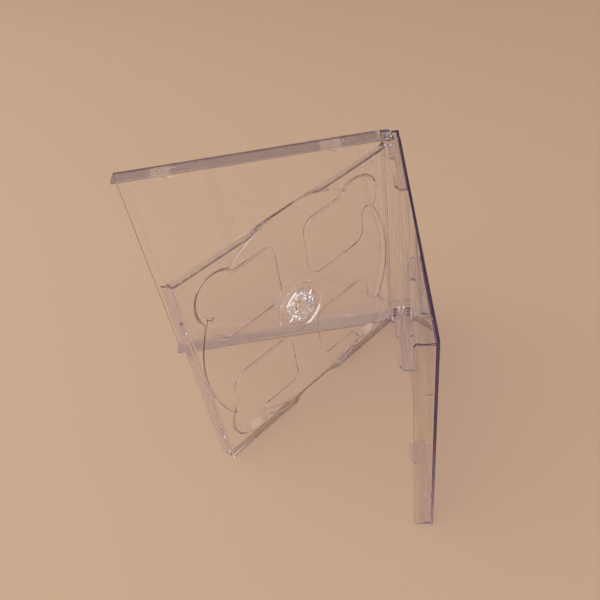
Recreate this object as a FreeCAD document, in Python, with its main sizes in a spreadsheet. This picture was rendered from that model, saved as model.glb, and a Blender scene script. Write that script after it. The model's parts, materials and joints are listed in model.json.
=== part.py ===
import FreeCAD, Part
import math
import os

import Sketcher

# Clear two-disc case, standing on edge and open like a book.
# Three mouldings share one upright pivot line: back cover, swing tray, front cover.
# Each moulding is drawn shut about that pivot line, with its mid height at Z = 0:
# X runs through the closed case towards the back cover's outer face,
# Y runs towards the spine and Z runs up the standing case.

doc = FreeCAD.newDocument("disc_case")
sheet = doc.addObject("Spreadsheet::Sheet", "sizes")

DRIVING = {
    # overall case
    "case_length": 142.0,
    "case_height": 124.7,
    "case_depth": 10.4,
    "wall": 1.2,
    "side_gap": 0.2,
    "face_gap": 0.1,
    # pivot line and pins
    "pin_radius": 1.5,
    "pin_gap": 0.06,
    "pin_reach": 5.4,
    "pin_tip": 0.5,
    "bore_spare": 0.4,
    # back cover
    "ear_notch": 9.5,
    "cheek_length": 12.0,
    "cheek_slope": 1.2,
    "front_wall_drop": 0.4,
    "wall_corner": 2.0,
    "rail_depth": 6.3,
    "notch_depth": 4.2,
    "near_notch_start": 25.0,
    "near_notch_end": 38.5,
    "near_rail_bevel": 48.0,
    "near_rail_end": 51.5,
    "far_rail_start": 44.6,
    "far_rail_round": 3.0,
    "far_notch_start": 33.0,
    "far_notch_end": 20.5,
    "far_rail_rise": 4.0,
    "notch_ramp": 0.8,
    "dimple_radius": 0.9,
    "dimple_depth": 0.8,
    "dimple_in": 3.7,
    "near_dimple": 43.4,
    "far_dimple": 14.0,
    "dent_height": 7.0,
    "dent_width": 2.4,
    "dent_depth": 0.3,
    # front cover
    "plate_start": 11.0,
    "tab_length": 10.0,
    "tab_reach": 4.3,
    "tab_thickness": 1.0,
    "tab_space": 1.8,
    "ridge_inset": 4.4,
    "ridge_width": 0.8,
    "ridge_height": 0.4,
    "ridge_spare": 9.0,
    "pip_radius": 0.9,
    "pip_height": 0.15,
    "pip_inset": 39.5,
    # swing tray
    "tray_side_gap": 0.25,
    "tray_end_gap": 0.35,
    "card_gap": 0.6,
    "half_web": 0.6,
    "skin": 1.2,
    "barrel_radius": 3.4,
    "barrel_wall": 1.1,
    "knuckle_length": 9.0,
    "rim_start": 5.4,
    "disc_inset": 63.1,
    "recess_floor_radius": 60.2,
    "recess_top_radius": 61.8,
    "ledge_radius": 59.2,
    "ledge_height": 0.3,
    "recess_wall": 1.2,
    # finger lobes and finger pockets, measured from the hub
    "lobe_drop": 0.7,
    "lobe_hub_edge": 9.7,
    "lobe_mid_edge": 13.1,
    "lobe_outer_edge": 45.5,
    "lobe_far_edge": 48.0,
    "lobe_hub_round": 7.0,
    "lobe_far_round": 8.0,
    "lobe_end_round": 6.0,
    "pocket_across": 43.0,
    "pocket_up": 39.5,
    "pocket_radius": 12.0,
    "pocket_spread": 2.3,
    # hub
    "hub_seat_radius": 14.0,
    "hub_seat_inner": 10.6,
    "hub_seat_front": 0.5,
    "hub_seat_back": 0.9,
    "hub_radius": 7.4,
    "hub_eye_radius": 2.6,
    "hub_bore_radius": 5.6,
    "hub_front": 2.2,
    "hub_back": 2.6,
    "hub_fingers": 12,
    "finger_slot": 1.1,
    "finger_slot_reach": 9.9,
    "hub_lip": 0.35,
    # free edge of the tray
    "lip_run": 1.5,
    "lip_drop": 2.2,
    "lip_end_gap": 1.0,
    "catch_height": 6.0,
    "catch_width": 1.4,
    "catch_up": 37.5,
    "stud_radius": 1.0,
    "stud_height": 0.3,
    "stud_side": 3.6,
    "stud_near": 16.5,
    "stud_far": 5.4,
    # how far each moulding stands open
    "tray_open": 44.67,
    "cover_open": 83.7,
}


# A length that carries its number and the formula that keeps it in the drawing.
class Size:
    def __init__(self, number, formula):
        self.number = number
        self.formula = formula

    def __add__(self, other):
        other = sized(other)
        return Size(self.number + other.number, f"({self.formula} + {other.formula})")

    def __sub__(self, other):
        other = sized(other)
        return Size(self.number - other.number, f"({self.formula} - {other.formula})")

    def __mul__(self, other):
        other = sized(other)
        return Size(self.number * other.number, f"({self.formula} * {other.formula})")

    def __truediv__(self, other):
        other = sized(other)
        return Size(self.number / other.number, f"({self.formula} / {other.formula})")

    def __neg__(self):
        return Size(-self.number, f"(0 - {self.formula})")


def sized(value):
    if isinstance(value, Size):
        return value
    return Size(float(value), repr(value))


# The second short side of a right triangle.
def leg(long_side, short_side):
    number = math.sqrt(long_side.number ** 2 - short_side.number ** 2)
    return Size(number, f"sqrt({long_side.formula}^2 - {short_side.formula}^2)")


for row, (name, number) in enumerate(DRIVING.items(), start=1):
    sheet.set(f"A{row}", name)
    sheet.set(f"B{row}", str(number))
    sheet.setAlias(f"B{row}", name)
doc.recompute()


def size(name):
    return Size(float(DRIVING[name]), f"sizes.{name}")


wall = size("wall")
zero = sized(0)

# places shared by the three mouldings
half_depth = size("case_depth") / 2
half_height = size("case_height") / 2
back_inner = half_depth - wall
cover_inner = wall - half_depth
free_end = half_depth - size("case_length")
free_inner = free_end + wall
spine_inner = half_depth - wall
rail_outer = half_height - wall - size("side_gap")
rail_inner = rail_outer - wall
arm_inner = half_height - wall
wall_tip = cover_inner + size("face_gap")
cover_wall_tip = back_inner - size("face_gap")
tray_half = rail_inner - size("tray_side_gap")
web_front = size("half_web")
web_back = -size("half_web")
rim_front = back_inner - size("card_gap")
pin_bore = size("pin_radius") + size("pin_gap")


def body(label):
    made = doc.addObject("PartDesign::Body", label)
    made.Label = label
    return made


def bind(item, path, value):
    item.setExpression(path, sized(value).formula)


# An empty sketch on one of the body's own planes, raised along the plane's normal.
def sketch(owner, name, plane, raised=zero, right=zero):
    made = owner.newObject("Sketcher::SketchObject", name)
    for feature in owner.Origin.OriginFeatures:
        if feature.Role == plane:
            made.AttachmentSupport = [(feature, "")]
    made.MapMode = "FlatFace"
    bind(made, "AttachmentOffset.Base.x", right)
    bind(made, "AttachmentOffset.Base.z", raised)
    return made


# Ties one point of a sketch to a place measured from the sketch's origin.
def pin_point(drawing, edge, end, x, y):
    for kind, value in (("DistanceX", x), ("DistanceY", y)):
        if value is None:
            continue
        value = sized(value)
        number = drawing.addConstraint(Sketcher.Constraint(kind, -1, 1, edge, end, value.number))
        drawing.setExpression(f"Constraints[{number}]", value.formula)


# A closed outline through the given corners. Each bend turns the run that leaves
# a corner into an arc: (radius, 1) curves to the left of the run, (radius, -1) to its right.
def outline(drawing, corners, bends=None):
    bends = bends or {}
    corners = [(sized(x), sized(y)) for x, y in corners]
    first = drawing.GeometryCount
    count = len(corners)
    for index, (x, y) in enumerate(corners):
        next_x, next_y = corners[(index + 1) % count]
        start = FreeCAD.Vector(x.number, y.number, 0)
        end = FreeCAD.Vector(next_x.number, next_y.number, 0)
        if index in bends:
            radius, side = bends[index]
            drawing.addGeometry(bend_arc(start, end, radius.number, side), False)
        else:
            drawing.addGeometry(Part.LineSegment(start, end), False)
    for index in range(count):
        edge = first + index
        after = first + (index + 1) % count
        ends_at = arc_finish(bends, index)
        starts_at = arc_start(bends, (index + 1) % count)
        drawing.addConstraint(Sketcher.Constraint("Coincident", edge, ends_at, after, starts_at))
    for index, (x, y) in enumerate(corners):
        edge = first + index
        pin_point(drawing, edge, arc_start(bends, index), x, y)
        if index in bends:
            radius = bends[index][0]
            number = drawing.addConstraint(Sketcher.Constraint("Radius", edge, radius.number))
            drawing.setExpression(f"Constraints[{number}]", radius.formula)


# An arc always runs anticlockwise, so one that curves to the right is drawn end to start.
def arc_start(bends, index):
    return 2 if index in bends and bends[index][1] < 0 else 1


def arc_finish(bends, index):
    return 1 if index in bends and bends[index][1] < 0 else 2


def bend_arc(start, end, radius, side):
    chord = end - start
    middle = start + chord * 0.5
    rise = math.sqrt(max(radius ** 2 - (chord.Length / 2) ** 2, 0))
    across = FreeCAD.Vector(-chord.y, chord.x, 0).normalize()
    centre = middle + across * (rise * side)
    circle = Part.Circle(centre, FreeCAD.Vector(0, 0, 1), radius)
    first, last = (start, end) if side > 0 else (end, start)
    return Part.ArcOfCircle(circle, circle.parameter(first), circle.parameter(last))


def ring(drawing, x, y, radius):
    x, y, radius = sized(x), sized(y), sized(radius)
    circle = Part.Circle(FreeCAD.Vector(x.number, y.number, 0), FreeCAD.Vector(0, 0, 1), radius.number)
    edge = drawing.addGeometry(circle, False)
    pin_point(drawing, edge, 3, x, y)
    number = drawing.addConstraint(Sketcher.Constraint("Radius", edge, radius.number))
    drawing.setExpression(f"Constraints[{number}]", radius.formula)


def rectangle(drawing, left, right, low, high):
    outline(drawing, [(left, low), (right, low), (right, high), (left, high)])


# The same outline in all four quarters round the sketch's origin.
def four_ways(corners, bends):
    made = []
    for across in (1, -1):
        for up in (1, -1):
            placed = [(sized(x) * across, sized(y) * up) for x, y in corners]
            turned = {index: (radius, side * across * up) for index, (radius, side) in bends.items()}
            made.append((placed, turned))
    return made


def pad(owner, name, drawing, length, both_ways=False, taper=None):
    made = owner.newObject("PartDesign::Pad", name)
    made.Profile = drawing
    made.Midplane = both_ways
    bind(made, "Length", length)
    if taper is not None:
        bind(made, "TaperAngle", taper)
    return made


def pocket(owner, name, drawing, length, forward=False, both_ways=False, taper=None):
    made = owner.newObject("PartDesign::Pocket", name)
    made.Profile = drawing
    made.Reversed = forward
    made.Midplane = both_ways
    bind(made, "Length", length)
    if taper is not None:
        bind(made, "TaperAngle", taper)
    return made


# Copies features to the other half of the moulding, across its mid height.
def mirror(owner, name, features):
    made = owner.newObject("PartDesign::Mirrored", name)
    made.Originals = features
    for feature in owner.Origin.OriginFeatures:
        if feature.Role == "XY_Plane":
            made.MirrorPlane = (feature, [""])
    owner.Tip = made
    return made


# Back cover: window plate, spine wall, front wall and stepped rails
def back_cover():
    cover = body("back_cover")

    section = sketch(cover, "spine_section", "XY_Plane")
    outline(section, [
        (half_depth, half_depth),
        (wall_tip, half_depth),
        (wall_tip, spine_inner),
        (back_inner, spine_inner),
        (back_inner, free_end),
        (half_depth, free_end),
    ])
    pad(cover, "plate_and_spine", section, rail_outer * 2, both_ways=True)

    # the plate's long edges reach the case's full height, but stop short of the pivot ears
    wings = sketch(cover, "plate_outline", "YZ_Plane", back_inner)
    rectangle(wings, free_end, half_depth - size("ear_notch"), -half_height, half_height)
    pad(cover, "plate_wings", wings, wall)

    front = sketch(cover, "front_wall_outline", "XZ_Plane", -free_inner)
    tip = wall_tip + size("front_wall_drop")
    corner = size("wall_corner")
    outline(front, [
        (half_depth, -rail_outer),
        (half_depth, rail_outer),
        (tip + corner, rail_outer),
        (tip, rail_outer - corner),
        (tip, corner - rail_outer),
        (tip + corner, -rail_outer),
    ], {2: (corner, 1), 4: (corner, 1)})
    pad(cover, "front_wall", front, wall)

    rails = sketch(cover, "rail_outline", "XY_Plane", rail_inner)
    rail_tip = half_depth - size("rail_depth")
    notch_tip = half_depth - size("notch_depth")
    root = half_depth - wall / 2
    ramp = size("notch_ramp")
    cheek_end = half_depth - size("cheek_length")
    near_start = half_depth - size("near_notch_start")
    near_end = half_depth - size("near_notch_end")
    outline(rails, [
        (root, spine_inner + wall / 2),
        (wall_tip, spine_inner + wall / 2),
        (wall_tip, cheek_end),
        (rail_tip, cheek_end - size("cheek_slope")),
        (rail_tip, near_start),
        (notch_tip, near_start - ramp),
        (notch_tip, near_end),
        (rail_tip, near_end - ramp),
        (rail_tip, half_depth - size("near_rail_bevel")),
        (notch_tip, half_depth - size("near_rail_end")),
        (root, half_depth - size("near_rail_end")),
    ])
    far_start = free_end + size("far_rail_start")
    far_round = size("far_rail_round")
    notch_start = free_end + size("far_notch_start")
    notch_end = free_end + size("far_notch_end")
    outline(rails, [
        (root, far_start),
        (rail_tip + far_round, far_start),
        (rail_tip, far_start - far_round),
        (rail_tip, notch_start),
        (notch_tip, notch_start - ramp),
        (notch_tip, notch_end),
        (rail_tip, free_end + size("far_rail_rise")),
        (rail_tip, free_inner - wall / 2),
        (root, free_inner - wall / 2),
    ], {1: (far_round, 1)})
    rail = pad(cover, "rail", rails, wall)

    # shallow dimples pressed into the rail's outer side at both ends of its far stretch
    dots = sketch(cover, "dimple_outline", "XY_Plane", rail_outer)
    for inset in ("near_dimple", "far_dimple"):
        ring(dots, half_depth - size("dimple_in"), free_end + size(inset), size("dimple_radius"))
    dimple = pocket(cover, "dimples", dots, size("dimple_depth"))

    eye = sketch(cover, "pivot_eye_outline", "XY_Plane", rail_outer)
    ring(eye, zero, zero, pin_bore)
    pivot_eye = pocket(cover, "pivot_eye", eye, wall)
    mirror(cover, "lower_rail", [rail, dimple, pivot_eye])

    # dents on the inside of the front wall face the tray's two catches
    dents = sketch(cover, "catch_dent_outline", "XZ_Plane", -free_inner)
    for side in (1, -1):
        middle = size("catch_up") * side
        half_dent = size("dent_height") / 2
        left = rim_front - size("dent_width")
        rectangle(dents, left, rim_front, middle - half_dent, middle + half_dent)
    pocket(cover, "catch_dents", dents, size("dent_depth"), forward=True)
    return cover


# Front cover: window plate, two side walls that run on into pivot ears, pins and booklet tabs
def front_cover():
    cover = body("front_cover")
    plate_end = half_depth - size("plate_start")

    plate = sketch(cover, "plate_outline", "YZ_Plane", -half_depth)
    rectangle(plate, free_end, plate_end, -half_height, half_height)
    pad(cover, "plate", plate, wall)

    side = sketch(cover, "side_wall_outline", "XY_Plane", arm_inner)
    outline(side, [
        (cover_wall_tip, free_end),
        (cover_wall_tip, -leg(half_depth, cover_wall_tip)),
        (-half_depth, zero),
        (-half_depth, free_end),
    ], {1: (half_depth, 1)})
    wall_pad = pad(cover, "side_wall", side, wall)

    # each ear carries a pin that points inwards, with a turned-down tip for snapping home
    pin = sketch(cover, "pin_section", "XZ_Plane")
    tip = size("pin_tip")
    outline(pin, [
        (zero, arm_inner + wall / 2),
        (size("pin_radius"), arm_inner + wall / 2),
        (size("pin_radius"), arm_inner - size("pin_reach") + tip),
        (size("pin_radius") - tip, arm_inner - size("pin_reach")),
        (zero, arm_inner - size("pin_reach")),
    ])
    turned = cover.newObject("PartDesign::Revolution", "pin")
    turned.Profile = pin
    turned.ReferenceAxis = (pin, ["V_Axis"])
    turned.Angle = 360

    # half-moon tabs hold the booklet against the window, in line with the rail's notches
    tabs = sketch(cover, "tab_outline", "YZ_Plane", cover_inner + size("tab_space"))
    half_tab = size("tab_length") / 2
    near_middle = half_depth - (size("near_notch_start") + size("near_notch_end")) / 2
    far_middle = free_end + (size("far_notch_start") + size("far_notch_end")) / 2
    root = arm_inner + wall / 2
    reach = size("tab_reach")
    rise = reach * reach
    moon = (half_tab * half_tab + rise) / (reach * 2)
    for middle in (near_middle, far_middle):
        outline(tabs, [
            (middle + half_tab, root),
            (middle - half_tab, root),
            (middle - half_tab, arm_inner),
            (middle + half_tab, arm_inner),
        ], {2: (moon, 1)})
    tab = pad(cover, "booklet_tabs", tabs, size("tab_thickness"))

    pips = sketch(cover, "pip_outline", "XY_Plane", arm_inner)
    ring(pips, half_depth / 2, free_end + size("pip_inset"), size("pip_radius"))
    pip = pad(cover, "snap_pip", pips, size("pip_height"))
    pip.Reversed = True
    mirror(cover, "lower_wall", [wall_pad, turned, tab, pip])

    # a low ridge keeps the booklet back from the free edge
    ridge = sketch(cover, "ridge_outline", "YZ_Plane", cover_inner)
    half_ridge = arm_inner - size("ridge_spare")
    low = free_end + size("ridge_inset")
    rectangle(ridge, low, low + size("ridge_width"), -half_ridge, half_ridge)
    pad(cover, "booklet_ridge", ridge, size("ridge_height"))
    return cover


# Outline of one finger lobe, in the quarter above and beyond the hub
def lobe_quarter(grow):
    near = size("lobe_hub_edge") - grow
    low = size("lobe_mid_edge") - grow
    high = size("lobe_outer_edge") + grow
    far = size("lobe_far_edge") + grow
    hub_round = size("lobe_hub_round") + grow
    far_round = size("lobe_far_round") + grow
    end_round = size("lobe_end_round") + grow
    corners = [
        (near + hub_round, low),
        (far - far_round, low),
        (far, low + far_round),
        (far, high - far_round),
        (far - far_round, high),
        (near + end_round, high),
        (near, high - end_round),
        (near, low + hub_round),
    ]
    bends = {
        1: (far_round, 1),
        3: (far_round, 1),
        5: (end_round, 1),
        7: (hub_round, 1),
    }
    return corners, bends


# Swing tray: one thin moulding that holds a disc on each side
def swing_tray():
    tray = body("swing_tray")
    tray_end = free_inner + size("tray_end_gap") + size("lip_run")
    rim_start = -size("rim_start")
    hub_at = tray_end + size("disc_inset")
    skin = size("skin")

    slab = sketch(tray, "slab_outline", "YZ_Plane", web_back)
    rectangle(slab, tray_end, rim_start, -tray_half, tray_half)
    pad(tray, "slab", slab, rim_front - web_back)

    # from behind, the slab is hollow under its raised skin
    hollow = sketch(tray, "hollow_outline", "YZ_Plane", web_back)
    rectangle(hollow, tray_end + skin, rim_start - skin, skin - tray_half, tray_half - skin)
    pocket(tray, "hollow", hollow, rim_front - skin - web_back, forward=True)

    # the dish that takes the discs fills the middle of that hollow, its wall one skin thick
    ledge = web_front + size("ledge_height")
    widening = (size("recess_top_radius") - size("recess_floor_radius")) / (rim_front - ledge)
    flare = Size(math.degrees(math.atan(widening.number)), f"atan({widening.formula})")
    dish_back = size("recess_top_radius") + size("recess_wall") - widening * (rim_front - web_back)
    dish = sketch(tray, "dish_outline", "YZ_Plane", web_back, right=hub_at)
    ring(dish, zero, zero, dish_back)
    pad(tray, "dish", dish, rim_front - web_back, taper=flare)

    # cone-walled finger pockets break the rim of the disc recess at four places
    floor = web_front - size("lobe_drop")
    spread = size("pocket_spread")
    slope = Size(
        math.degrees(math.atan(spread.number / (rim_front - floor).number)),
        f"atan({spread.formula} / {(rim_front - floor).formula})",
    )
    cones = sketch(tray, "pocket_wall_outline", "YZ_Plane", floor - skin, right=hub_at)
    for across in (1, -1):
        for up in (1, -1):
            ring(cones, size("pocket_across") * across, size("pocket_up") * up, size("pocket_radius"))
    pad(tray, "pocket_walls", cones, rim_front - floor + skin, taper=slope)

    # the disc recess has a drafted wall and a low ledge round its floor
    recess = sketch(tray, "recess_section", "XY_Plane")
    outline(recess, [
        (web_front, hub_at),
        (web_front, hub_at - size("ledge_radius")),
        (ledge, hub_at - size("ledge_radius")),
        (ledge, hub_at - size("recess_floor_radius")),
        (rim_front, hub_at - size("recess_top_radius")),
        (half_depth, hub_at - size("recess_top_radius")),
        (half_depth, hub_at),
    ])
    edge = recess.addGeometry(Part.LineSegment(
        FreeCAD.Vector(0, hub_at.number, 0), FreeCAD.Vector(1, hub_at.number, 0)), True)
    pin_point(recess, edge, 1, zero, hub_at)
    pin_point(recess, edge, 2, sized(1), hub_at)
    turned = tray.newObject("PartDesign::Groove", "disc_recess")
    turned.Profile = recess
    turned.ReferenceAxis = (recess, ["Axis0"])
    turned.Angle = 360

    # finger lobes step back from the disc on this side and stand out on the other
    grow = size("lobe_drop")
    raised = sketch(tray, "lobe_back_outline", "YZ_Plane", floor - skin, right=hub_at)
    for corners, bends in four_ways(*lobe_quarter(grow)):
        outline(raised, corners, bends)
    pad(tray, "lobe_backs", raised, skin)
    sunk = sketch(tray, "lobe_outline", "YZ_Plane", floor, right=hub_at)
    for corners, bends in four_ways(*lobe_quarter(zero)):
        outline(sunk, corners, bends)
    pocket(tray, "lobes", sunk, size("ledge_height") + size("lobe_drop"), forward=True)
    basins = sketch(tray, "pocket_outline", "YZ_Plane", floor, right=hub_at)
    for across in (1, -1):
        for up in (1, -1):
            inner = size("pocket_radius") - skin
            ring(basins, size("pocket_across") * across, size("pocket_up") * up, inner)
    pocket(tray, "pockets", basins, rim_front - floor, forward=True, taper=slope)

    # what the dish and the pockets reach past the slab's own outline is trimmed away
    spare = size("recess_top_radius")
    trim = sketch(tray, "trim_outline", "YZ_Plane", floor - skin)
    rectangle(trim, tray_end - spare, half_depth + spare, tray_half, tray_half + spare)
    rectangle(trim, tray_end - spare, half_depth + spare, -tray_half - spare, -tray_half)
    pocket(tray, "side_trim", trim, rim_front - floor + skin, forward=True)
    ends = sketch(tray, "end_trim_outline", "YZ_Plane", floor - skin)
    rectangle(ends, tray_end - spare, tray_end, -tray_half - spare, tray_half + spare)
    rectangle(ends, rim_start, rim_start + spare, -tray_half - spare, tray_half + spare)
    pocket(tray, "end_trim", ends, rim_front - floor + skin, forward=True)

    hub(tray, hub_at)
    hinge_barrel(tray, rim_start)
    free_edge(tray, tray_end)
    return tray


# Hub: a seat ring and a split crown that grips a disc on either side of the tray
def hub(tray, hub_at):
    profile = sketch(tray, "hub_section", "XY_Plane")
    seat_front = web_front + size("hub_seat_front")
    seat_back = web_back - size("hub_seat_back")
    top = web_front + size("hub_front")
    bottom = web_back - size("hub_back")
    lip = size("hub_lip")
    crown = hub_at - size("hub_radius")
    outline(profile, [
        (seat_back, hub_at - size("hub_seat_radius")),
        (seat_back, hub_at - size("hub_seat_inner")),
        (web_back, hub_at - size("hub_seat_inner")),
        (web_back, crown),
        (bottom + lip * 2, crown - lip),
        (bottom, crown + lip),
        (bottom, hub_at - size("hub_bore_radius")),
        (web_back, hub_at - size("hub_bore_radius")),
        (web_back, hub_at - size("hub_eye_radius")),
        (web_front, hub_at - size("hub_eye_radius")),
        (web_front, hub_at - size("hub_bore_radius")),
        (top, hub_at - size("hub_bore_radius")),
        (top, crown + lip),
        (top - lip * 2, crown - lip),
        (web_front, crown),
        (web_front, hub_at - size("hub_seat_inner")),
        (seat_front, hub_at - size("hub_seat_inner")),
        (seat_front, hub_at - size("hub_seat_radius")),
    ])
    edge = profile.addGeometry(Part.LineSegment(
        FreeCAD.Vector(0, hub_at.number, 0), FreeCAD.Vector(1, hub_at.number, 0)), True)
    pin_point(profile, edge, 1, zero, hub_at)
    pin_point(profile, edge, 2, sized(1), hub_at)
    crown_ring = tray.newObject("PartDesign::Revolution", "hub_crown")
    crown_ring.Profile = profile
    crown_ring.ReferenceAxis = (profile, ["Axis0"])
    crown_ring.Angle = 360

    eye = sketch(tray, "hub_eye_outline", "YZ_Plane", bottom, right=hub_at)
    ring(eye, zero, zero, size("hub_eye_radius"))
    pocket(tray, "hub_eye", eye, top - bottom, forward=True)

    slot = sketch(tray, "finger_slot_outline", "YZ_Plane", bottom, right=hub_at)
    half_slot = size("finger_slot") / 2
    rectangle(slot, size("hub_eye_radius") / 2, size("finger_slot_reach"), -half_slot, half_slot)
    first = pocket(tray, "finger_slot", slot, top - bottom, forward=True)
    slots = tray.newObject("PartDesign::PolarPattern", "finger_slots")
    slots.Originals = [first]
    slots.Axis = (slot, ["N_Axis"])
    slots.Angle = 360
    bind(slots, "Occurrences", size("hub_fingers"))
    tray.Tip = slots


# Hinge edge: a hollow barrel from cheek to cheek, with a thicker knuckle at each end
def hinge_barrel(tray, rim_start):
    link = sketch(tray, "hinge_link_outline", "YZ_Plane", web_back)
    rectangle(link, rim_start - size("skin") / 2, zero, -tray_half, tray_half)
    pad(tray, "hinge_link", link, web_front - web_back)
    core = sketch(tray, "barrel_outline", "XY_Plane")
    ring(core, zero, zero, pin_bore + size("barrel_wall"))
    pad(tray, "barrel", core, tray_half * 2, both_ways=True)
    knuckle = sketch(tray, "knuckle_outline", "XY_Plane", tray_half - size("knuckle_length"))
    ring(knuckle, zero, zero, size("barrel_radius"))
    knuckle_pad = pad(tray, "knuckle", knuckle, size("knuckle_length"))
    eye = sketch(tray, "pin_bore_outline", "XY_Plane", tray_half)
    ring(eye, zero, zero, pin_bore)
    reach = size("pin_reach") + tray_half - arm_inner + size("bore_spare")
    bore = pocket(tray, "pin_bore", eye, reach)
    mirror(tray, "lower_knuckle", [knuckle_pad, bore])


# Free edge: a flared finger lip, two catches and four small studs on the rim
def free_edge(tray, tray_end):
    lip = sketch(tray, "lip_section", "XY_Plane")
    skin = size("skin")
    run = size("lip_run")
    drop = size("lip_drop")
    outline(lip, [
        (web_front, tray_end + skin / 2),
        (web_front, tray_end),
        (web_back - drop + skin / 2, tray_end - run),
        (web_back - drop, tray_end - run),
        (web_back - drop, tray_end - run + skin / 2),
        (web_back, tray_end + skin / 2),
    ])
    pad(tray, "finger_lip", lip, (tray_half - size("lip_end_gap")) * 2, both_ways=True)

    catches = sketch(tray, "catch_outline", "XZ_Plane", -tray_end - skin / 2)
    half_catch = size("catch_height") / 2
    for side in (1, -1):
        middle = size("catch_up") * side
        left = rim_front - size("catch_width")
        rectangle(catches, left, rim_front, middle - half_catch, middle + half_catch)
    pad(tray, "catches", catches, run + skin / 2)

    studs = sketch(tray, "stud_outline", "YZ_Plane", rim_front)
    for along in (-size("stud_near"), tray_end + size("stud_far")):
        for side in (1, -1):
            ring(studs, along, (tray_half - size("stud_side")) * side, size("stud_radius"))
    pad(tray, "studs", studs, size("stud_height"))


# The pivot line stands at the origin, and the two moving mouldings stand open about it.
def stand(moulding, turned):
    bind(moulding, "Placement.Base.z", half_height)
    moulding.Placement.Rotation = FreeCAD.Rotation(FreeCAD.Vector(0, 0, 1), 0)
    if turned is not None:
        bind(moulding, "Placement.Rotation.Angle", turned)


mouldings = [back_cover(), swing_tray(), front_cover()]
for moulding, turned in zip(mouldings, (None, -size("tray_open"), -size("cover_open"))):
    stand(moulding, turned)
doc.recompute()

for item in doc.Objects:
    if "Invalid" in item.State or "Error" in item.State:
        raise RuntimeError(f"{item.Label} failed: {item.State}")
for moulding in mouldings:
    shape = moulding.Shape
    if shape.isNull() or not shape.isValid() or len(shape.Solids) != 1:
        raise RuntimeError(f"{moulding.Label} is not one sound solid")

os.makedirs("parts", exist_ok=True)
for moulding in mouldings:
    moulding.Shape.exportStep(f"parts/{moulding.Label}.step")
    box = moulding.Shape.BoundBox
    print(moulding.Label, round(moulding.Shape.Volume, 1), "mm3", box)
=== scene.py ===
import json
import math

import bmesh
import bpy
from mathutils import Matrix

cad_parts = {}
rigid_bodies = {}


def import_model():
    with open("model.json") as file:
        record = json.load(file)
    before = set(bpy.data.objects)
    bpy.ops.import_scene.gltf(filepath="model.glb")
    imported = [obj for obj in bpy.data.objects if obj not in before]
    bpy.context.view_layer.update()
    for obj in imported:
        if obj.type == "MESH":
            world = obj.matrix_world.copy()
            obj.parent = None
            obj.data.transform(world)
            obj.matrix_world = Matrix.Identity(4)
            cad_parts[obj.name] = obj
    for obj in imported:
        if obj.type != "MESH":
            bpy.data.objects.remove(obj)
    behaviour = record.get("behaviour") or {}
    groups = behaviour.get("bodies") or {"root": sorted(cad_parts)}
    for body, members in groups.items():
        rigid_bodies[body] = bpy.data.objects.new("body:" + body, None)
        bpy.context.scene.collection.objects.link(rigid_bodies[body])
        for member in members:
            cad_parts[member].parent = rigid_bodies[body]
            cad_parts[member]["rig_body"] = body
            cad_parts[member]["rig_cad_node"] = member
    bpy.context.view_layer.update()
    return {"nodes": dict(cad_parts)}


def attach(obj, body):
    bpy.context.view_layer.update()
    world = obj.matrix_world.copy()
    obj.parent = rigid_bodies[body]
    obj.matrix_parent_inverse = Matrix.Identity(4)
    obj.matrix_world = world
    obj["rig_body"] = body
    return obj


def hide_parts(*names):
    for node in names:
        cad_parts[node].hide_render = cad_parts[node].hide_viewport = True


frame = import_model()
scene = bpy.context.scene
scene.view_settings.view_transform = "Standard"

# light turns back many times inside the clear walls before it leaves them
rayLimits = {"max": 160, "transmission": 160, "transparent": 64, "glossy": 160}
scene.cycles.max_bounces = rayLimits["max"]
scene.cycles.transmission_bounces = rayLimits["transmission"]
scene.cycles.transparent_max_bounces = rayLimits["transparent"]
scene.cycles.glossy_bounces = rayLimits["glossy"]

mm = 0.001

# degrees by which each piece stands open in the photo, seen from above
pivotTurn = {"back_cover": 0.0, "swing_tray": -44.67, "front_cover": -83.7}


def newMaterial(name):
    made = bpy.data.materials.new(name)
    made.use_nodes = True
    made.node_tree.nodes.clear()
    return made, made.node_tree.nodes, made.node_tree.links


def addNode(nodes, kind, where, values=None, **settings):
    made = nodes.new(kind)
    made.location = where
    for key, value in settings.items():
        setattr(made, key, value)
    for key, value in (values or {}).items():
        made.inputs[key].default_value = value
    return made


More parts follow.
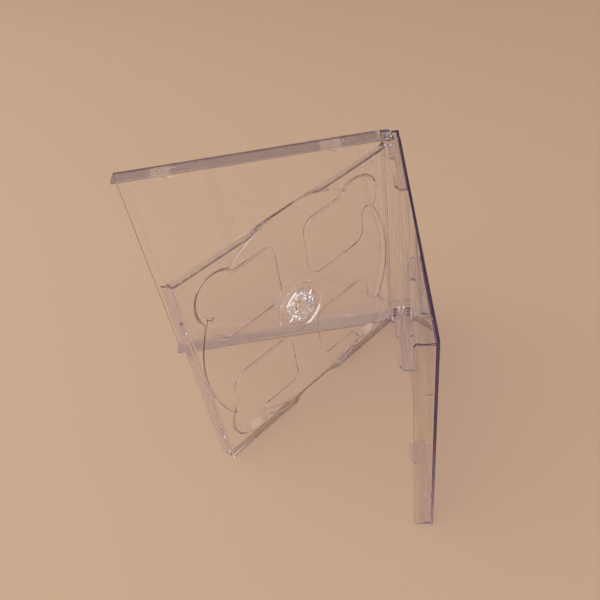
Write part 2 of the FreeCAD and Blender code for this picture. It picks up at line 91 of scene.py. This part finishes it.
# Clear moulded styrene: polished, a little wavy, darker where it is seen edge on
def clearStyrene(name, look):
    mat, nodes, links = newMaterial(name)
    coords = addNode(nodes, "ShaderNodeTexCoord", (-1200, 0))
    turn = addNode(nodes, "ShaderNodeMapping", (-1020, 0), {
        "Rotation": (0, 0, math.radians(look["turn"])),
    })
    links.new(coords.outputs["Object"], turn.inputs["Vector"])

    # slow waves left by the melt, and fine handling scuffs
    flow = addNode(nodes, "ShaderNodeTexNoise", (-800, 160), {
        "Scale": look["flowScale"],
        "Detail": look["flowDetail"],
    })
    scuff = addNode(nodes, "ShaderNodeTexNoise", (-800, -120), {
        "Scale": look["scuffScale"],
        "Detail": look["scuffDetail"],
    })
    rough = addNode(nodes, "ShaderNodeMapRange", (-560, -120), {
        "From Min": look["scuffRange"][0],
        "From Max": look["scuffRange"][1],
        "To Min": look["roughness"],
        "To Max": look["roughness"] + look["scuff"],
    })
    bump = addNode(nodes, "ShaderNodeBump", (-560, 160), {
        "Strength": look["flowStrength"],
        "Distance": look["flowHeight"],
    })
    links.new(turn.outputs["Vector"], flow.inputs["Vector"])
    links.new(turn.outputs["Vector"], scuff.inputs["Vector"])
    links.new(scuff.outputs["Fac"], rough.inputs["Value"])
    links.new(flow.outputs["Fac"], bump.inputs["Height"])

    # each band along an axis tints and dulls one wall or one edge of the moulding; some band
    # colours are painted light: shade along edges, highlights over tabs, a sky reflection on a
    # rail
    places = addNode(nodes, "ShaderNodeSeparateXYZ", (-800, 420))
    links.new(turn.outputs["Vector"], places.inputs["Vector"])
    clear = addNode(nodes, "ShaderNodeRGB", (-800, 600))
    clear.outputs[0].default_value = (*look["tint"], 1)
    tinted, dulled = clear.outputs[0], rough.outputs["Result"]
    for step, (axis, start, end, tintAndPaintedLight, dull) in enumerate(look["bands"]):
        height = 260 * step
        band = addNode(nodes, "ShaderNodeMapRange", (-620, 380 + height), {
            "From Min": start * mm,
            "From Max": end * mm,
        })
        colour = addNode(
            nodes, "ShaderNodeMix", (-440, 480 + height), {"B": (*tintAndPaintedLight, 1)}, data_type="RGBA")
        frost = addNode(
            nodes, "ShaderNodeMath", (-440, 300 + height), {1: dull}, operation="MULTIPLY_ADD")
        links.new(places.outputs[axis], band.inputs["Value"])
        links.new(band.outputs["Result"], colour.inputs["Factor"])
        links.new(tinted, colour.inputs["A"])
        links.new(band.outputs["Result"], frost.inputs[0])
        links.new(dulled, frost.inputs[2])
        tinted, dulled = colour.outputs["Result"], frost.outputs[0]

    glass = addNode(nodes, "ShaderNodeBsdfPrincipled", (-300, 100), {
        "Transmission Weight": 1.0,
        "IOR": look["ior"],
    })
    links.new(tinted, glass.inputs["Base Color"])
    links.new(dulled, glass.inputs["Roughness"])
    links.new(bump.outputs["Normal"], glass.inputs["Normal"])

    # lamps and bounced light pass with a faint tint, as they do through a thin clear wall
    rays = addNode(nodes, "ShaderNodeLightPath", (-300, 520))
    lit = addNode(nodes, "ShaderNodeMath", (-100, 420), operation="MAXIMUM")
    film = addNode(
        nodes, "ShaderNodeBsdfTransparent", (-100, 260), {"Color": (*look["shadowTint"], 1)})
    mix = addNode(nodes, "ShaderNodeMixShader", (100, 140))
    links.new(rays.outputs["Is Shadow Ray"], lit.inputs[0])
    links.new(rays.outputs["Is Diffuse Ray"], lit.inputs[1])
    links.new(lit.outputs[0], mix.inputs[0])
    links.new(glass.outputs[0], mix.inputs[1])
    links.new(film.outputs[0], mix.inputs[2])

    # the plastic takes some light away on the long way through it along an edge
    inside = addNode(nodes, "ShaderNodeVolumeAbsorption", (100, -60), {
        "Color": (*look["edgeTint"], 1),
        "Density": look["edgeDensity"],
    })
    out = addNode(nodes, "ShaderNodeOutputMaterial", (320, 100))
    links.new(mix.outputs[0], out.inputs["Surface"])
    links.new(inside.outputs[0], out.inputs["Volume"])
    return mat


# what the mouldings share; lengths in metres, scales per metre
styreneLook = {
    "tint": (0.985, 0.98, 1.0),
    "shadowTint": (0.93, 0.92, 0.945),
    "ior": 1.59,
    "roughness": 0.012,
    "scuff": 0.035,
    "scuffScale": 240.0,
    "scuffDetail": 6.0,
    "scuffRange": (0.45, 0.75),
    "flowScale": 26.0,
    "flowDetail": 1.5,
    "flowStrength": 0.25,
    "flowHeight": 0.6 * mm,
    "room": 0.5 * mm,
    "fineSteps": False,
}

# what differs from moulding to moulding; each band gives the axis of the closed case, the place
# in mm where it starts, the place where it is full, its tint and the roughness that it adds.
# A band covers all that lies past its full place, and a later band covers an earlier one:
# the front cover's upper wall gets a darker lilac tint and more roughness, but its ear and tabs
# are left light as painted highlights, then the rest is made clear
mouldings = {
    "back_cover": {
        "edgeDensity": 36.0,
        "edgeTint": (0.67, 0.60, 0.79),
        "bands": [
            ("Z", 124.2, 124.4, (0.91, 0.89, 0.92), 0.0),
            ("Y", -135.3, -135.5, (0.92, 0.88, 0.85), 0.0),
            # painted shade: a dark line along the outer edge of the walls, where they are seen
            # edge on
            ("X", -3.2, -3.6, (0.50, 0.42, 0.40), 0.0),
        ],
    },
    "swing_tray": {
        "edgeDensity": 22.0,
        "edgeTint": (0.74, 0.62, 0.58),
        "flowScale": 34.0,
        "room": 0.0,
        "fineSteps": True,
        "bands": [
            ("Y", -132.0, -132.6, (0.89, 0.89, 1.00), 0.04),
            # painted shade and shadow: dark brown along the tray's bottom edge, just above the
            # floor
            ("Z", 4.6, 3.4, (0.56, 0.45, 0.36), 0.0),
        ],
    },
    "front_cover": {
        "edgeDensity": 12.0,
        "edgeTint": (0.72, 0.63, 0.72),
        # on this cover the base tint stays only on the upper wall's ear, lighter than the rest
        # of that wall: a painted highlight
        "tint": (0.93, 0.93, 1.0),
        "roughness": 0.132,
        "bands": [
            ("Y", -4.8, -5.6, (0.70, 0.69, 0.80), 0.0),
            # painted highlight: the upper wall is left light over a booklet tab, in place of its
            # glint
            ("Y", -23.2, -23.6, (0.97, 0.97, 1.00), 0.0),
            ("Y", -33.4, -33.8, (0.70, 0.69, 0.80), 0.0),
            # painted highlight: the upper wall is left light over a booklet tab, in place of its
            # glint
            ("Y", -107.2, -107.6, (0.97, 0.97, 1.00), 0.0),
            ("Y", -117.4, -117.8, (0.70, 0.69, 0.80), 0.0),
            ("Z", 123.5, 123.3, (0.985, 0.98, 1.00), -0.12),
            # painted reflection: a bluish tint on the lower rail in place of the sky it
            # reflects, with a little more roughness
            ("Z", 1.4, 1.2, (0.80, 0.83, 1.00), 0.08),
            # painted shade: a dark line along the cover's free edge, seen edge on
            ("Y", -136.4, -136.6, (0.55, 0.46, 0.48), 0.05),
        ],
    },
}

# softened edges, as a polished mould leaves them; angles in degrees
edgeRound = {
    "width": 0.2 * mm,
    "segments": 2,
    "profile": 0.5,
    "sharp": 32.0,
    "straight": 150.0,
    "flat": 0.6,
    "merge": 0.002 * mm,
    "normalWeight": 100,
}


# A corner is rounded only where both of its faces reach far enough back from it
def hasRoom(edge, room):
    for face in edge.link_faces:
        for corner in edge.verts:
            along = edge.other_vert(corner).co - corner.co
            for side in corner.link_edges:
                if side is edge or side not in face.edges:
                    continue
                away = side.other_vert(corner).co - corner.co
                turn = math.degrees(along.angle(away, 0))
                reach = away.length * math.sin(math.radians(turn))
                if turn < edgeRound["straight"] and reach < room:
                    return False
    return True


def selectRoomyEdges(piece, room):
    mesh = bmesh.from_edit_mesh(piece.data)
    sharp = math.radians(edgeRound["sharp"])
    count = 0
    for edge in mesh.edges:
        edge.select_set(False)
    for edge in mesh.edges:
        if len(edge.link_faces) == 2 and edge.calc_face_angle(0) > sharp and hasRoom(edge, room):
            edge.select_set(True)
            count += 1
    bmesh.update_edit_mesh(piece.data)
    return count


def softenMoulding(name, look):
    bpy.ops.object.select_all(action="DESELECT")
    cad = frame["nodes"][name]
    cad.select_set(True)
    bpy.context.view_layer.objects.active = cad
    bpy.ops.object.duplicate()
    piece = bpy.context.view_layer.objects.active
    piece.name = name + "_moulding"
    piece.data = piece.data.copy()
    piece.parent = None
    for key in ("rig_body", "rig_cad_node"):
        if key in piece:
            del piece[key]
    bpy.ops.object.mode_set(mode="EDIT")
    bpy.ops.mesh.select_all(action="SELECT")
    bpy.ops.mesh.remove_doubles(threshold=edgeRound["merge"])
    bpy.ops.mesh.dissolve_limited(angle_limit=math.radians(edgeRound["flat"]))
    bpy.ops.mesh.select_all(action="DESELECT")
    bpy.ops.mesh.select_mode(type="EDGE")
    print(name, "rounded edges", selectRoomyEdges(piece, look["room"]))
    bpy.ops.mesh.bevel(
        offset=edgeRound["width"], segments=edgeRound["segments"],
        profile=edgeRound["profile"], clamp_overlap=look["fineSteps"])
    bpy.ops.mesh.select_all(action="SELECT")
    bpy.ops.mesh.remove_doubles(threshold=edgeRound["merge"])
    bpy.ops.object.mode_set(mode="OBJECT")
    bpy.ops.object.shade_smooth_by_angle(angle=math.radians(edgeRound["sharp"]))
    level = piece.modifiers.new("flatNormals", "WEIGHTED_NORMAL")
    level.weight = edgeRound["normalWeight"]
    level.keep_sharp = True
    bpy.ops.object.modifier_apply(modifier=level.name)
    return piece


for name, own in mouldings.items():
    look = {**styreneLook, **own, "turn": -pivotTurn[name]}
    finish = clearStyrene(name + "Styrene", look)
    piece = softenMoulding(name, look)
    piece.data.materials.clear()
    piece.data.materials.append(finish)
    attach(piece, name)
    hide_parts(name)
    print("moulding", name, len(piece.data.polygons), "faces")

# plain pale floor under the standing case
floorLook = {"size": 6.0, "color": (0.70, 0.48, 0.31), "roughness": 0.55, "shine": 0.2}
bpy.ops.object.select_all(action="DESELECT")
bpy.ops.mesh.primitive_plane_add(size=floorLook["size"], location=(0, 0, 0))
floor = bpy.context.object
floor.name = "studioFloor"
mat, nodes, links = newMaterial("palePaper")
paper = addNode(nodes, "ShaderNodeBsdfPrincipled", (0, 0), {
    "Base Color": (*floorLook["color"], 1),
    "Roughness": floorLook["roughness"],
    "Specular IOR Level": floorLook["shine"],
})
out = addNode(nodes, "ShaderNodeOutputMaterial", (300, 0))
links.new(paper.outputs[0], out.inputs["Surface"])
floor.data.materials.append(mat)
print("floor ready")

# soft studio light: a large key high on the left, a weak fill on the right
lamps = {
    "key": {"at": (-1.2, -0.15, 1.25), "size": 2.6, "power": 32.0},
    "fill": {"at": (1.0, -0.3, 1.1), "size": 1.3, "power": 4.0},
}
caseMiddle = (-0.05, -0.06, 0.05)
for name, lamp in lamps.items():
    bpy.ops.object.light_add(type="AREA", location=lamp["at"])
    light = bpy.context.object
    light.name = name + "Lamp"
    light.data.size = lamp["size"]
    light.data.energy = lamp["power"]
    aim = light.location.copy()
    for axis in range(3):
        aim[axis] -= caseMiddle[axis]
    light.rotation_euler = aim.to_track_quat("Z", "Y").to_euler()

# the world is a dim room over a pale sweep that carries the floor's colour up behind the case;
# each band gives the height of the view direction, from level 0 to straight up 1, and its colour
world = bpy.data.worlds.new("studioWorld")
scene.world = world
world.use_nodes = True
skyLook = {
    "strength": 1.0,
    "bands": [
        (0.00, (0.50, 0.38, 0.28)),
        (0.16, (0.46, 0.36, 0.28)),
        (0.30, (0.12, 0.09, 0.09)),
        (0.76, (0.12, 0.10, 0.11)),
        (1.00, (0.62, 0.62, 0.74)),
    ],
}
nodes, links = world.node_tree.nodes, world.node_tree.links
sky = nodes["Background"]
sky.inputs["Strength"].default_value = skyLook["strength"]
upward = addNode(nodes, "ShaderNodeTexCoord", (-900, 0))
split = addNode(nodes, "ShaderNodeSeparateXYZ", (-700, 0))
ramp = addNode(nodes, "ShaderNodeValToRGB", (-400, 0))
stops = ramp.color_ramp.elements
while len(stops) < len(skyLook["bands"]):
    stops.new(0.5)
for stop, (height, tone) in zip(stops, skyLook["bands"]):
    stop.position = height
    stop.color = (*tone, 1)
links.new(upward.outputs["Generated"], split.inputs["Vector"])
links.new(split.outputs["Z"], ramp.inputs["Fac"])
links.new(ramp.outputs["Color"], sky.inputs["Color"])
print("lights ready")

# camera at the photo's place, found from the case's own corners
cameraLook = {
    "at": (-0.017949, -0.271305, 0.273620),
    "turn": (46.7126, 7.3953, 1.2499),
    "lens": 36.797,
    "sensor": 36.0,
    "nearest": 10 * mm,
}
bpy.ops.object.camera_add(location=cameraLook["at"])
camera = bpy.context.object
camera.rotation_euler = [math.radians(angle) for angle in cameraLook["turn"]]
camera.data.lens = cameraLook["lens"]
camera.data.sensor_width = cameraLook["sensor"]
camera.data.clip_start = cameraLook["nearest"]
scene.camera = camera
print("camera ready")
